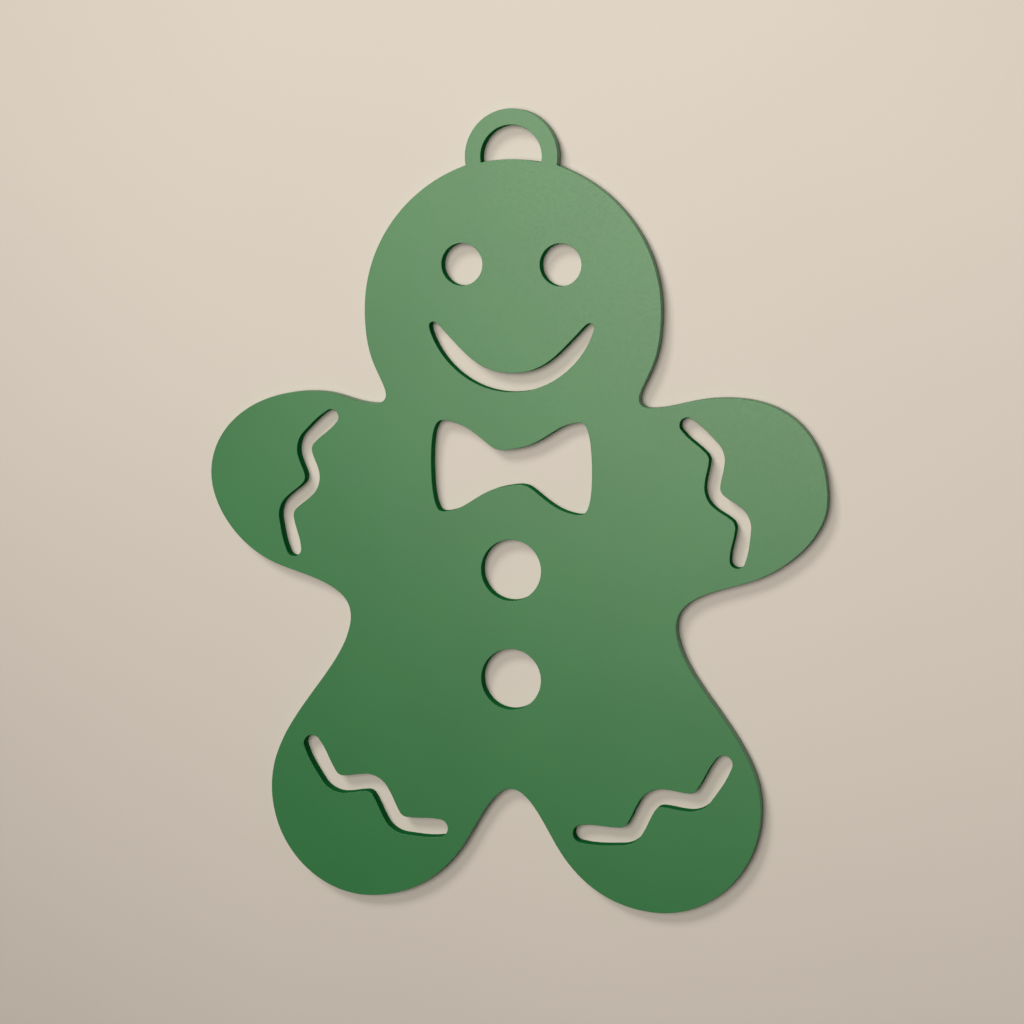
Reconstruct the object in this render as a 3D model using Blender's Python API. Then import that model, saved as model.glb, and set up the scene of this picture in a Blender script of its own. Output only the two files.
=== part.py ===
"""Gingerbread man hanging ornament: one flat plate with its hanging ring, lying on its back.

The figure is 110 mm tall and 2 mm thick. The eyes, smile, bow tie, two buttons and four icing waves are cut
right through it. X runs to the right of the shown face, Y to the head and Z out of the shown face. The origin
is under the middle of the plate, on the surface that it lies on.
"""

import math
from collections import namedtuple

import bpy
from mathutils import Matrix, Vector

MM = 0.001

# Driving dimensions, in millimetres
HEIGHT = 110.0
HALF_WIDTH = 43.7
THICKNESS = 2.0
EDGE_CHAMFER = 0.05

RING_RADIUS = 6.5
RING_HOLE_RADIUS = 4.3
HEAD_TOP_Y = 48.15
HEAD_CROWN_RADIUS = 22.0

# Where the head's rim runs into the ring, with its heading in degrees and the reach of its handle there
RING_FOOT_X = 6.4
RING_FOOT_HEADING = 161
RING_FOOT_REACH = 9.1

EYE_RADIUS = 2.9
EYE_X = 6.95
EYE_Y = 33.9
BUTTON_RADIUS = 4.25
BUTTON_YS = (-8.1, -23.3)
BOW_Y = 6.15

WAVE_BEND_RADIUS = 2.5
SLEEVE_WAVE_WIDTH = 2.15
TROUSER_WAVE_WIDTH = 2.5

FOOT_Y = -HEIGHT / 2
RING_Y = HEIGHT / 2 - RING_RADIUS

# How finely the rims are divided
SPAN_STEPS = 8
CIRCLE_SPAN_STEPS = 10
BEND_STEPS = 6
WAVE_END_STEPS = 8
WELD_DISTANCE = 0.01

# A point of an outline, in millimetres: the outline passes it at this heading, in degrees from +X, and its
# handles reach this far back and ahead. At a sharp corner the outline then turns by so many degrees.
Knot = namedtuple("Knot", "x y heading back ahead turn", defaults=(0,))

# The body's right side from the crotch up, and each arm, as their outlines run
CROTCH = Knot(0, -38.7, 0, 2.7, 2.7)
LEG = (
    Knot(6.9, -47.0, -57, 3.8, 6.0),
    Knot(21.3, FOOT_Y, 0, 6.2, 6.6),
    Knot(35.1, -40.0, 90, 9.2, 10.1),
    Knot(23.2, -15.1, 90, 7.5, 4.4),
)
RIGHT_ARM = (
    Knot(33.7, -8.5, 20, 4.3, 5.2),
    Knot(HALF_WIDTH, 2.6, 90, 4.8, 6.3),
    Knot(30.1, 16.2, 180, 10.6, 5.0),
)
LEFT_ARM = (
    Knot(34.3, -8.1, 22, 4.0, 6.0),
    Knot(HALF_WIDTH, 4.4, 90, 4.7, 6.4),
    Knot(28.4, 16.2, 180, 9.1, 4.0),
)
NECK = (
    Knot(19.5, 14.65, 181, 3.5, 1.1),
    Knot(18.2, 17.0, 67, 2.0, 2.9),
    Knot(20.9, 27.6, 90, 6.2, 9.0),
)
SMILE_BOTTOM = Knot(0, 16.5, 0, 6.4, 6.4)
SMILE_TIP = (
    Knot(11.6, 25.2, 76, 3.8, 0.9),
    Knot(10.7, 25.9, 223, 0.3, 5.3),
)
SMILE_TOP = Knot(0, 19.1, 180, 5.1, 5.1)

# Half of the bow tie about its knot. The other half is the same, turned half round.
HALF_BOW = (
    Knot(11.4, -0.7, 90, 4.1, 4.9),
    Knot(9.9, 6.3, 180, 0.8, 4.3),
    Knot(-1.7, 2.4, 180, 6.6, 1.6),
    Knot(-9.8, 6.3, 180, 4.1, 1.0),
)

# The corners of each icing wave's middle line, before its bends are rounded
SLEEVE_WAVES = (
    ((-25.9, 12.6), (-30.3, 8.7), (-28.2, 3.4), (-32.9, -0.4), (-31.5, -6.0)),
    ((24.6, 12.4), (28.9, 8.6), (27.8, 2.9), (32.6, -0.2), (31.6, -5.8)),
)
TROUSER_WAVES = (
    ((-29.0, -33.7), (-25.8, -39.5), (-19.7, -38.6), (-16.6, -44.7), (-10.4, -44.8)),
    ((29.9, -33.8), (26.5, -39.5), (20.0, -38.7), (17.0, -44.6), (10.1, -44.5)),
)

PLATE_COLOUR = (0.013, 0.176, 0.050, 1.0)
PLATE_ROUGHNESS = 0.36


def clear_scene():
    for obj in list(bpy.data.objects):
        bpy.data.objects.remove(obj)


def arc_reach(radius, sweep):
    """How far a handle reaches so that one span follows a circle through this many degrees."""
    return 4 / 3 * math.tan(math.radians(sweep) / 4) * radius


def mirrored(knots):
    """The same outline on the other side of the figure, as it runs back down."""
    return [Knot(-k.x, k.y, -(k.heading + k.turn), k.ahead, k.back, k.turn) for k in reversed(knots)]


def turned_half_round(knots):
    return [k._replace(x=-k.x, y=-k.y, heading=k.heading + 180) for k in knots]


def moved(knots, x, y):
    return [k._replace(x=k.x + x, y=k.y + y) for k in knots]


def circle(x, y, radius):
    reach = arc_reach(radius, 90)
    quarters = ((radius, 0, 90), (0, radius, 180), (-radius, 0, 270), (0, -radius, 0))
    return [Knot(x + dx, y + dy, heading, reach, reach) for dx, dy, heading in quarters]


def ring_corner(radius, x, heading_in, back):
    """(corner, top) of a round rim of the ring: it leaves the head at this x and climbs to the middle line."""
    y = -math.sqrt(radius**2 - x**2)
    start = math.degrees(math.atan2(y, x))
    reach = arc_reach(radius, 90 - start)
    corner = Knot(x, RING_Y + y, heading_in, back, reach, start + 90 - heading_in)
    top = Knot(0, RING_Y + radius, 180, reach, reach)
    return corner, top


def body_outline():
    foot, top = ring_corner(RING_RADIUS, RING_FOOT_X, RING_FOOT_HEADING, RING_FOOT_REACH)
    right = LEG + RIGHT_ARM + NECK + (foot,)
    left = LEG + LEFT_ARM + NECK + (foot,)
    return [CROTCH, *right, top, *mirrored(left)]


def ring_hole():
    """The ring's opening, closed below by the crown of the head."""
    # The crown's circle and the opening's circle are about two points of the middle line, this far apart
    apart = RING_Y - (HEAD_TOP_Y - HEAD_CROWN_RADIUS)
    meet_y = (HEAD_CROWN_RADIUS**2 - RING_HOLE_RADIUS**2 - apart**2) / (2 * apart)
    meet_x = math.sqrt(RING_HOLE_RADIUS**2 - meet_y**2)
    slope = math.degrees(math.asin(meet_x / HEAD_CROWN_RADIUS))
    crown_reach = arc_reach(HEAD_CROWN_RADIUS, 2 * slope)
    corner, top = ring_corner(RING_HOLE_RADIUS, meet_x, -slope, crown_reach)
    return [corner, top, *mirrored([corner])]


def smile():
    return [SMILE_BOTTOM, *SMILE_TIP, SMILE_TOP, *mirrored(SMILE_TIP)]


def bow_tie():
    return moved([*HALF_BOW, *turned_half_round(HALF_BOW)], 0, BOW_Y)


def add_outline(curve, knots, steps=SPAN_STEPS):
    """A closed smooth rim through the knots."""
    spline = curve.splines.new("BEZIER")
    spline.bezier_points.add(len(knots) - 1)
    spline.use_cyclic_u = True
    spline.resolution_u = steps
    for point, knot in zip(spline.bezier_points, knots):
        place = Vector((knot.x, knot.y, 0)) * MM
        into = math.radians(knot.heading)
        out = math.radians(knot.heading + knot.turn)
        point.handle_left_type = point.handle_right_type = "FREE"
        point.co = place
        point.handle_left = place - Vector((math.cos(into), math.sin(into), 0)) * knot.back * MM
        point.handle_right = place + Vector((math.cos(out), math.sin(out), 0)) * knot.ahead * MM


def wave_line(corners):
    """[(place, direction)] along a line through the corners, with every bend rounded to the same radius."""
    corners = [Vector(corner) for corner in corners]
    runs = [(b - a).normalized() for a, b in zip(corners, corners[1:])]
    line = [(corners[0], runs[0])]
    for corner, into, out in zip(corners[1:], runs, runs[1:]):
        turn = math.atan2(into.cross(out), into.dot(out))
        side = Vector((-into.y, into.x)) * math.copysign(1, turn)
        start = corner - into * WAVE_BEND_RADIUS * math.tan(abs(turn) / 2)
        centre = start + side * WAVE_BEND_RADIUS
        for step in range(BEND_STEPS + 1):
            spin = Matrix.Rotation(turn * step / BEND_STEPS, 2)
            line.append((centre - spin @ side * WAVE_BEND_RADIUS, spin @ into))
    line.append((corners[-1], runs[-1]))
    return line


def round_end(place, direction, half_width):
    """Points round the end of a wave, from its left side to its right, without the two where the sides end."""
    left = Vector((-direction.y, direction.x))
    angles = [math.pi * step / WAVE_END_STEPS for step in range(1, WAVE_END_STEPS)]
    return [place + (left * math.cos(a) + direction * math.sin(a)) * half_width for a in angles]


def add_wave(curve, corners, width):
    """A closed rim that keeps half the width from the wave's middle line."""
    line = wave_line(corners)
    half = width / 2
    left = [place + Vector((-way.y, way.x)) * half for place, way in line]
    right = [place - Vector((-way.y, way.x)) * half for place, way in line]
    first, first_way = line[0]
    last, last_way = line[-1]
    rim = left + round_end(last, last_way, half) + right[::-1] + round_end(first, -first_way, half)
    spline = curve.splines.new("POLY")
    spline.points.add(len(rim) - 1)
    spline.use_cyclic_u = True
    for point, place in zip(spline.points, rim):
        point.co = (place.x * MM, place.y * MM, 0, 1)


def plate_curve():
    """The figure's rim and all its openings as one flat outline, with its thickness and a fine chamfer."""
    curve = bpy.data.curves.new("gingerbread_man_plate", "CURVE")
    curve.dimensions = "2D"
    curve.fill_mode = "BOTH"
    add_outline(curve, body_outline())
    add_outline(curve, ring_hole())
    for x in (-EYE_X, EYE_X):
        add_outline(curve, circle(x, EYE_Y, EYE_RADIUS), CIRCLE_SPAN_STEPS)
    add_outline(curve, smile())
    add_outline(curve, bow_tie())
    for y in BUTTON_YS:
        add_outline(curve, circle(0, y, BUTTON_RADIUS), CIRCLE_SPAN_STEPS)
    for corners in SLEEVE_WAVES:
        add_wave(curve, corners, SLEEVE_WAVE_WIDTH)
    for corners in TROUSER_WAVES:
        add_wave(curve, corners, TROUSER_WAVE_WIDTH)
    curve.extrude = (THICKNESS / 2 - EDGE_CHAMFER) * MM
    curve.bevel_depth = EDGE_CHAMFER * MM
    curve.bevel_resolution = 0
    curve.offset = -EDGE_CHAMFER * MM
    return curve


def green_plastic():
    material = bpy.data.materials.new("satin_green_plastic")
    material.use_nodes = True
    surface = material.node_tree.nodes["Principled BSDF"]
    surface.inputs["Base Color"].default_value = PLATE_COLOUR
    surface.inputs["Roughness"].default_value = PLATE_ROUGHNESS
    surface.inputs["Metallic"].default_value = 0.0
    material.diffuse_color = PLATE_COLOUR
    return material


def main():
    clear_scene()
    parts = bpy.data.collections.new("gingerbread_man_ornament")
    bpy.context.scene.collection.children.link(parts)
    curve = plate_curve()
    curve.materials.append(green_plastic())
    plate = bpy.data.objects.new("gingerbread_man_plate", curve)
    plate.location.z = THICKNESS / 2 * MM
    parts.objects.link(plate)
    weld = plate.modifiers.new("close_rims", "WELD")
    weld.merge_threshold = WELD_DISTANCE * MM


main()
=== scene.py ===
"""The looks of the gingerbread man ornament: a satin green plate that lies on a pale floor, seen from above.

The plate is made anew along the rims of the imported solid, with smooth rims and rounded edges, and takes the
solid's place. Lengths are in metres, and MM turns millimetres into them.
"""

import math

import bmesh
import bpy
from mathutils import Matrix, Vector


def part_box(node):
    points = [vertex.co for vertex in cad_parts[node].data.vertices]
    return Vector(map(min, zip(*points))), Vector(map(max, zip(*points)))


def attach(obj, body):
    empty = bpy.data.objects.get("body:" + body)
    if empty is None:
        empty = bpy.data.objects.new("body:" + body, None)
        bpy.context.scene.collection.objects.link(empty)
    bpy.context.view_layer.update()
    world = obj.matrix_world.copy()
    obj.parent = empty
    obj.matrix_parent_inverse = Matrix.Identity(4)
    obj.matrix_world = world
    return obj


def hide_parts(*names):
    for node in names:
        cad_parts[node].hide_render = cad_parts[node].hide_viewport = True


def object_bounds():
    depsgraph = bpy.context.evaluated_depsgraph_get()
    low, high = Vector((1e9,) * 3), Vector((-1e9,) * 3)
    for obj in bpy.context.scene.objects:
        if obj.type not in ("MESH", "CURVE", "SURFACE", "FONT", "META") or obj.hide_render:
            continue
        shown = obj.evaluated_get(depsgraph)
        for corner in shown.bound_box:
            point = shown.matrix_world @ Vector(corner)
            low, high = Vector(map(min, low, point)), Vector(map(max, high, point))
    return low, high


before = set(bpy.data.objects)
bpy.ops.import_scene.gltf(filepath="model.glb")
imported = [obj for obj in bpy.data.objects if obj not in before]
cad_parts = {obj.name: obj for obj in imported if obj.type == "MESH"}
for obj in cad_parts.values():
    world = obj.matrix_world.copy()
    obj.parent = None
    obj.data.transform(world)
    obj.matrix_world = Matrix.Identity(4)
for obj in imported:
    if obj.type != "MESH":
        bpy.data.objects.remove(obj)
solid_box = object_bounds()

MM = 0.001

NODE = "gingerbread_man_plate"

# The plate's finer shape. A chord is three handles long, which brings the curve close to a circle's arc.
# A face counts as level, or as an upright wall, by how much its normal points up.
EDGE_ROUND_STEPS = 2
RIM_STEPS = 5
SAME_PLACE = 0.001 * MM
CORNER_TURN = math.radians(45)
SHARP_TURN = math.radians(40)
CHORD_PER_HANDLE = 3
FACE_LEVEL = 0.999
WALL_LEVEL = 0.05

# Which of the plate's two materials the walls of its cut-outs have
CUT_MATERIAL = 1

# The surfaces. Noise keeps near its middle, so its masks are stretched from this band to 0 and 1.
NOISE_BAND = (0.35, 0.65)
CLOUD_DETAIL = 2.0
GRAIN_DETAIL = 1.0

# The plate's plastic is satin, and matt on the walls of its cut-outs
SATIN_PLASTIC = {
    "colour": (0.013, 0.176, 0.050),
    "clouding": 0.03,
    "cloud_width": 16 * MM,
    "gloss": 0.5,
    "roughness": 0.356,
    "roughness_spread": 0.015,
    "grain_width": 0.3 * MM,
    "grain_height": 0.001 * MM,
}
MATT_CUTS = SATIN_PLASTIC | {
    "gloss": 0.0,
    "roughness": 0.8,
    "roughness_spread": 0.05,
    "grain_width": 0.2 * MM,
    "grain_height": 0.004 * MM,
}

# The floor is a matt board
FLOOR_REACH = 4.0
FLOOR_BOARD = {
    "colour": (0.703, 0.648, 0.666),
    "clouding": 0.01,
    "cloud_width": 60 * MM,
    "gloss": 0.5,
    "roughness": 0.9,
    "roughness_spread": 0.05,
    "grain_width": 0.8 * MM,
    "grain_height": 0.003 * MM,
}

# The two lamps are big soft spots. Each has its place, the point that it is aimed at and its power in watts,
# and fades evenly from the middle of its cone to the cone's edge.
UPPER_LEFT_LAMP = {
    "place": (-0.297, 0.504, 0.560),
    "aim": (0.064, 0.090, 0),
    "width": 0.270,
    "power": 10.63,
    "cone": math.radians(58),
}
OVERHEAD_LAMP = {
    "place": (-0.061, 0.126, 0.734),
    "aim": (0.020, 0.093, 0),
    "width": 0.464,
    "power": 19.7,
    "cone": math.radians(57),
}
LAMP_FADE = 1.0
LIGHT_COLOUR = (1.0, 0.951, 0.788)
ROOM_STRENGTH = 0.031

# The lamps reach only the floor near the ornament. Farther out the floor glows by itself, from nothing at
# the start of the rise to its full strength at the end. The backdrop is as bright.
FAR_STRENGTH = 0.75
FAR_RISE_START = 120 * MM
FAR_RISE_END = 500 * MM
FAR_COLOUR = tuple(board * light for board, light in zip(FLOOR_BOARD["colour"], LIGHT_COLOUR))

# Where the camera stands, seen from the plate's middle
CAMERA_SIDE = math.radians(14.55)
CAMERA_ABOVE = math.radians(6.14)
CAMERA_DISTANCE = 398.9 * MM
CAMERA_AIM_X = 0.15 * MM
CAMERA_LENS = 102.0


def in_scene(name, data):
    """A new object in the scene, of this mesh, lamp or camera."""
    thing = bpy.data.objects.new(name, data)
    bpy.context.scene.collection.objects.link(thing)
    return thing


def edge_break(node):
    """(how far the solid's edges are broken, the height at which its upright walls end)"""
    heights = sorted({v.co.z for v in node.data.vertices})
    top = heights[-1]
    wall_top = max(z for z in heights if z < top - SAME_PLACE)
    return top - wall_top, wall_top


def level_edges(solid, height):
    return [e for e in solid.edges if all(abs(v.co.z - height) < SAME_PLACE for v in e.verts)]


def upper_rims(node):
    """Every closed rim at the top of the solid's upright walls, each a list of its places in order."""
    solid = bmesh.new()
    solid.from_mesh(node.data)
    bmesh.ops.remove_doubles(solid, verts=solid.verts, dist=SAME_PLACE)
    _, wall_top = edge_break(node)
    left = dict.fromkeys(level_edges(solid, wall_top))
    rims = []
    while left:
        edge, _ = left.popitem()
        start, here = edge.verts
        rim = [start.co.xy.copy()]
        while here is not start:
            rim.append(here.co.xy.copy())
            edge = next(e for e in here.link_edges if e in left)
            del left[edge]
            here = edge.other_vert(here)
        rims.append(rim)
    solid.free()
    return rims


def turn_between(a, b):
    return abs(math.atan2(a.cross(b), a.dot(b)))


def headings(rim):
    """The way in which a smooth line runs through each of the rim's places, or None at a corner."""
    found = []
    for before, here, after in zip(rim[-1:] + rim[:-1], rim, rim[1:] + rim[:1]):
        into = here - before
        out = after - here
        if turn_between(into, out) > CORNER_TURN:
            found.append(None)
        else:
            # The tangent of the circle through the three places
            along = into / into.length_squared + out / out.length_squared
            found.append(along.normalized())
    return found


def mirrored_in(heading, chord):
    """The heading at one end of an arc on this chord, from its other end, or along it from a corner."""
    way = chord.normalized()
    if heading is None:
        return way
    return 2 * heading.dot(way) * way - heading


def add_rim(curve, rim):
    """A closed smooth line through the rim's places, one arc from each to the next. Corners stay sharp."""
    spline = curve.splines.new("BEZIER")
    spline.bezier_points.add(len(rim) - 1)
    spline.use_cyclic_u = True
    spline.resolution_u = RIM_STEPS
    ways = headings(rim)
    count = len(rim)
    for i, point in enumerate(spline.bezier_points):
        before = (i - 1) % count
        after = (i + 1) % count
        into = rim[i] - rim[before]
        out = rim[after] - rim[i]
        way_in = ways[i] or mirrored_in(ways[before], into)
        way_out = ways[i] or mirrored_in(ways[after], out)
        point.handle_left_type = "FREE"
        point.handle_right_type = "FREE"
        point.co = rim[i].to_3d()
        point.handle_left = (rim[i] - way_in * into.length / CHORD_PER_HANDLE).to_3d()
        point.handle_right = (rim[i] + way_out * out.length / CHORD_PER_HANDLE).to_3d()


def fine_plate(node):
    """The plate's mesh, with smooth rims, as thick as the solid and as far broken at its edges."""
    low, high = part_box(NODE)
    thickness = high[2] - low[2]
    edge_round, _ = edge_break(node)
    curve = bpy.data.curves.new("plate_outline", "CURVE")
    curve.dimensions = "2D"
    curve.fill_mode = "BOTH"
    for rim in upper_rims(node):
        add_rim(curve, rim)
    curve.extrude = thickness / 2 - edge_round
    curve.bevel_depth = edge_round
    curve.bevel_resolution = EDGE_ROUND_STEPS
    curve.offset = -edge_round
    outline = bpy.data.objects.new("plate_outline", curve)
    mesh = bpy.data.meshes.new_from_object(outline)
    mesh.transform(Matrix.Translation((0, 0, (low[2] + high[2]) / 2)))
    bpy.data.objects.remove(outline)
    bpy.data.curves.remove(curve)
    return mesh


def outer_wall(walls):
    """The wall along the plate's outer rim: all that is joined to the face that lies farthest out."""
    reached = {max(walls, key=lambda face: face.calc_center_median().x)}
    fresh = reached
    while fresh:
        beside = {face for known in fresh for edge in known.edges for face in edge.link_faces}
        fresh = (beside & walls) - reached
        reached = reached | fresh
    return reached


def weld_and_sort(mesh):
    """Joins the curve's loose caps to its walls, and gives the walls of the cut-outs the second material."""
    fine = bmesh.new()
    fine.from_mesh(mesh)
    bmesh.ops.remove_doubles(fine, verts=fine.verts, dist=SAME_PLACE)
    fine.normal_update()
    walls = {face for face in fine.faces if abs(face.normal.z) < WALL_LEVEL}
    for face in walls - outer_wall(walls):
        face.material_index = CUT_MATERIAL
    fine.to_mesh(mesh)
    fine.free()


def shade(mesh):
    """Smooth along the rims, sharp at the corners, and flat on the two faces."""
    mesh.shade_smooth()
    mesh.set_sharp_from_angle(angle=SHARP_TURN)
    for face in mesh.polygons:
        face.use_smooth = abs(face.normal.z) < FACE_LEVEL


def make_plate(plate_material, cut_material):
    mesh = fine_plate(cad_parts[NODE])
    mesh.materials.append(plate_material)
    mesh.materials.append(cut_material)
    weld_and_sort(mesh)
    shade(mesh)
    plate = in_scene("fine_plate", mesh)
    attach(plate, "root")
    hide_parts(NODE)


def surface_texture():
    """Two masks from 0 to 1 over a surface: broad soft clouds, and a fine even grain."""
    group = bpy.data.node_groups.new("surface_texture", "ShaderNodeTree")
    sockets = group.interface
    sockets.new_socket("Place", in_out="INPUT", socket_type="NodeSocketVector")
    sockets.new_socket("Clouds per Metre", in_out="INPUT", socket_type="NodeSocketFloat")
    sockets.new_socket("Grains per Metre", in_out="INPUT", socket_type="NodeSocketFloat")
    sockets.new_socket("Clouds", in_out="OUTPUT", socket_type="NodeSocketFloat")
    sockets.new_socket("Grain", in_out="OUTPUT", socket_type="NodeSocketFloat")
    given = group.nodes.new("NodeGroupInput")
    result = group.nodes.new("NodeGroupOutput")
    masks = (
        ("Clouds", "Clouds per Metre", CLOUD_DETAIL),
        ("Grain", "Grains per Metre", GRAIN_DETAIL),
    )
    for mask, fineness, detail in masks:
        noise = group.nodes.new("ShaderNodeTexNoise")
        noise.inputs["Detail"].default_value = detail
        stretch = group.nodes.new("ShaderNodeMapRange")
        stretch.inputs["From Min"].default_value = NOISE_BAND[0]
        stretch.inputs["From Max"].default_value = NOISE_BAND[1]
        group.links.new(given.outputs["Place"], noise.inputs["Vector"])
        group.links.new(given.outputs[fineness], noise.inputs["Scale"])
        group.links.new(noise.outputs["Fac"], stretch.inputs["Value"])
        group.links.new(stretch.outputs["Result"], result.inputs[mask])
    return group


def brighter(colour, share):
    return (*(channel * (1 + share) for channel in colour), 1)


def textured(
    name, masks, colour, clouding, cloud_width, gloss, roughness, roughness_spread, grain_width, grain_height
):
    """A material whose colour clouds softly and whose roughness and relief follow a fine grain."""
    material = bpy.data.materials.new(name)
    material.use_nodes = True
    nodes = material.node_tree.nodes
    links = material.node_tree.links
    surface = nodes["Principled BSDF"]
    surface.inputs["Specular IOR Level"].default_value = gloss
    place = nodes.new("ShaderNodeTexCoord")
    texture = nodes.new("ShaderNodeGroup")
    texture.node_tree = masks
    texture.inputs["Clouds per Metre"].default_value = 1 / cloud_width
    texture.inputs["Grains per Metre"].default_value = 1 / grain_width
    links.new(place.outputs["Object"], texture.inputs["Place"])

    tint = nodes.new("ShaderNodeValToRGB")
    darkest, brightest = tint.color_ramp.elements
    darkest.color = brighter(colour, -clouding)
    brightest.color = brighter(colour, clouding)
    links.new(texture.outputs["Clouds"], tint.inputs["Fac"])
    links.new(tint.outputs["Color"], surface.inputs["Base Color"])

    dullness = nodes.new("ShaderNodeMapRange")
    dullness.inputs["To Min"].default_value = roughness - roughness_spread
    dullness.inputs["To Max"].default_value = roughness + roughness_spread
    links.new(texture.outputs["Grain"], dullness.inputs["Value"])
    links.new(dullness.outputs["Result"], surface.inputs["Roughness"])

    relief = nodes.new("ShaderNodeBump")
    relief.inputs["Distance"].default_value = grain_height
    links.new(texture.outputs["Grain"], relief.inputs["Height"])
    links.new(relief.outputs["Normal"], surface.inputs["Normal"])
    return material


def light_far_floor(board):
    """Makes the floor glow evenly where the lamps don't reach, and not around the ornament."""
    nodes = board.node_tree.nodes
    links = board.node_tree.links
    surface = nodes["Principled BSDF"]
    surface.inputs["Emission Color"].default_value = (*FAR_COLOUR, 1)
    place = nodes.new("ShaderNodeTexCoord")
    distance = nodes.new("ShaderNodeVectorMath")
    distance.operation = "LENGTH"
    rise = nodes.new("ShaderNodeMapRange")
    rise.interpolation_type = "SMOOTHSTEP"
    rise.inputs["From Min"].default_value = FAR_RISE_START
    rise.inputs["From Max"].default_value = FAR_RISE_END
    rise.inputs["To Max"].default_value = FAR_STRENGTH
    links.new(place.outputs["Object"], distance.inputs[0])
    links.new(distance.outputs["Value"], rise.inputs["Value"])
    links.new(rise.outputs["Result"], surface.inputs["Emission Strength"])


def make_floor(material):
    mesh = bpy.data.meshes.new("floor")
    corners = [(x * FLOOR_REACH, y * FLOOR_REACH, 0) for x, y in ((-1, -1), (1, -1), (1, 1), (-1, 1))]
    mesh.from_pydata(corners, [], [(0, 1, 2, 3)])
    mesh.materials.append(material)
    in_scene("floor", mesh)


def looking(place, back):
    """Where a thing stands that faces away from this direction, with its top towards the ornament's head."""
    right = Vector((0, 1, 0)).cross(back).normalized()
    turn = Matrix((right, back.cross(right), back)).transposed()
    return Matrix.Translation(place) @ turn.to_4x4()


def make_lamp(name, place, aim, width, power, cone):
    """A round soft lamp."""
    lamp = bpy.data.lights.new(name, "SPOT")
    lamp.shadow_soft_size = width / 2
    lamp.energy = power
    lamp.color = LIGHT_COLOUR
    lamp.spot_size = cone
    lamp.spot_blend = LAMP_FADE
    back = (Vector(place) - Vector(aim)).normalized()
    in_scene(name, lamp).matrix_world = looking(Vector(place), back)


def make_room():
    """A faint light from all around, and a pale backdrop that is seen but lights nothing."""
    world = bpy.data.worlds.new("soft_room")
    world.use_nodes = True
    nodes = world.node_tree.nodes
    links = world.node_tree.links
    room_light = nodes["Background"]
    room_light.inputs["Color"].default_value = (*LIGHT_COLOUR, 1)
    room_light.inputs["Strength"].default_value = ROOM_STRENGTH
    backdrop = nodes.new("ShaderNodeBackground")
    backdrop.inputs["Color"].default_value = (*FAR_COLOUR, 1)
    backdrop.inputs["Strength"].default_value = FAR_STRENGTH
    rays = nodes.new("ShaderNodeLightPath")
    choice = nodes.new("ShaderNodeMixShader")
    links.new(rays.outputs["Is Camera Ray"], choice.inputs["Fac"])
    links.new(room_light.outputs["Background"], choice.inputs[1])
    links.new(backdrop.outputs["Background"], choice.inputs[2])
    links.new(choice.outputs["Shader"], nodes["World Output"].inputs["Surface"])
    bpy.context.scene.world = world


def make_camera(aim_height):
    camera_data = bpy.data.cameras.new("camera")
    camera_data.lens = CAMERA_LENS
    camera = in_scene("camera", camera_data)
    back = Vector((
        math.sin(CAMERA_SIDE) * math.cos(CAMERA_ABOVE),
        math.sin(CAMERA_ABOVE),
        math.cos(CAMERA_SIDE) * math.cos(CAMERA_ABOVE),
    ))
    aim = Vector((CAMERA_AIM_X, 0, aim_height))
    camera.matrix_world = looking(aim + back * CAMERA_DISTANCE, back)
    bpy.context.scene.camera = camera


texture_masks = surface_texture()
satin_green_plastic = textured("satin_green_plastic", texture_masks, **SATIN_PLASTIC)
matt_green_cuts = textured("matt_green_cuts", texture_masks, **MATT_CUTS)
pale_board = textured("pale_board", texture_masks, **FLOOR_BOARD)
light_far_floor(pale_board)
make_plate(satin_green_plastic, matt_green_cuts)
make_floor(pale_board)
make_lamp("upper_left_lamp", **UPPER_LEFT_LAMP)
make_lamp("overhead_lamp", **OVERHEAD_LAMP)
make_room()
make_camera(solid_box[1].z)
bpy.context.scene.view_settings.view_transform = "Standard"
